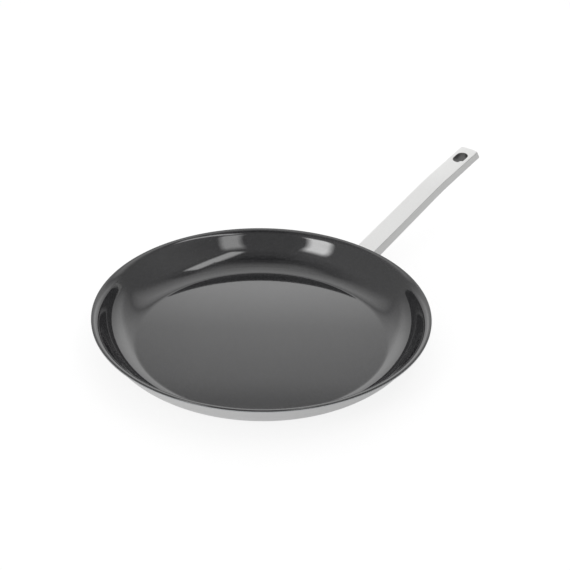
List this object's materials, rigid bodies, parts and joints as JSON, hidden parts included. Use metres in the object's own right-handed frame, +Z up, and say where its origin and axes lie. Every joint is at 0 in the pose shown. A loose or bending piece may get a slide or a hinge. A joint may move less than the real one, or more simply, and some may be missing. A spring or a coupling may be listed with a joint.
{
  "type": "pancake pan",
  "caption": "Shallow round pancake pan of clad steel with a dark non-stick lining, a flared lip and a long welded flat-bar handle with a hanging slot.",
  "frame": {"origin": "on the pan's axis at the underside of the flat base", "axes": "+Z up along the pan's axis, +X from the pan's axis along the handle"},
  "size_m": [0.4767, 0.288, 0.0627],
  "materials": {
    "nonstick_coat": "smooth half-gloss dark grey coat",
    "inner_steel": "rolled sheet",
    "core_aluminium": "rolled sheet",
    "satin_steel": "satin, brushed round the axis",
    "handle_steel": "fine satin, brushed along the bar",
    "weld_steel": "as welded"
  },
  "bodies": {
    "root": {"nonstick_coating": "nonstick_coat", "inner_steel_ply": "inner_steel", "aluminium_core": "core_aluminium", "outer_steel_ply": "satin_steel", "handle": "handle_steel", "weld_upper_left": "weld_steel", "weld_upper_right": "weld_steel", "weld_lower_left": "weld_steel", "weld_lower_right": "weld_steel"}
  },
  "joints": []
}
